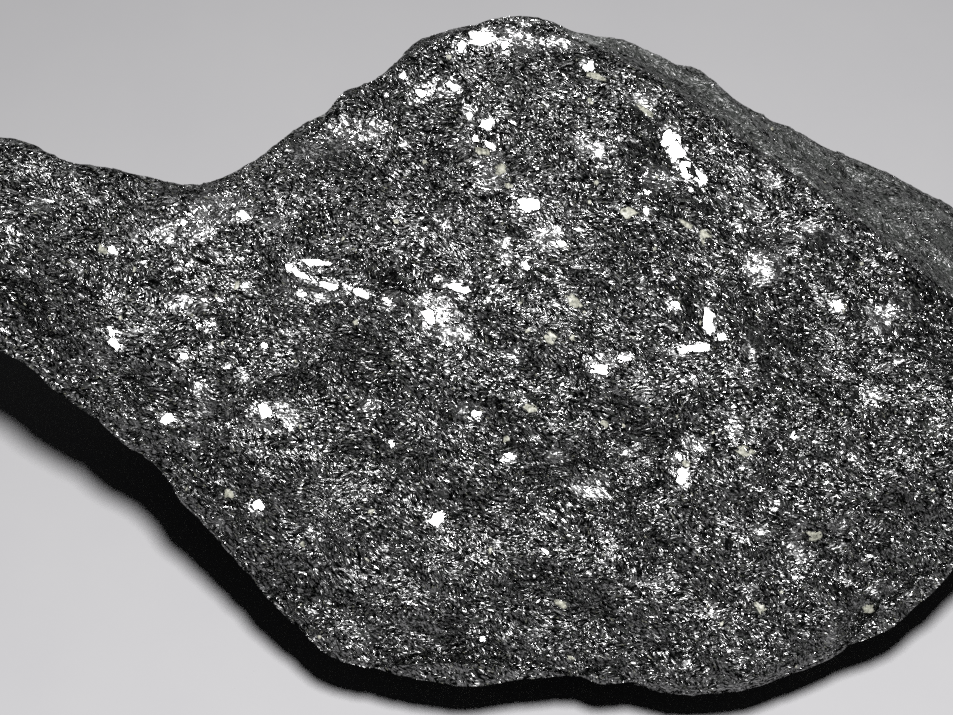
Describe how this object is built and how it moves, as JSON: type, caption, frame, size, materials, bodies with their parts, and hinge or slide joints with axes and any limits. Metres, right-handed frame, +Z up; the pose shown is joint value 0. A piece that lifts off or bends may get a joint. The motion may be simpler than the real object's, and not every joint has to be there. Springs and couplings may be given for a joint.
{
  "type": "amphibolite hand specimen",
  "caption": "Broken piece of dark foliated rock, tapering to a thin tail at one end, that lies on a flat underside with its broad face leaning back.",
  "frame": {"origin": "middle of the stone's box, on the surface that it lies on", "axes": "+X along the stone from its thin tail to its blunt end, +Y from the foot of the broad face towards the back, +Z up"},
  "size_m": [0.0998, 0.057, 0.038],
  "materials": {
    "amphibolite": "freshly broken, fine-grained and foliated: black hornblende needles and flakes that glitter, with a few beige feldspar grains"
  },
  "bodies": {
    "root": {"amphibolite_stone": "amphibolite"}
  },
  "joints": []
}
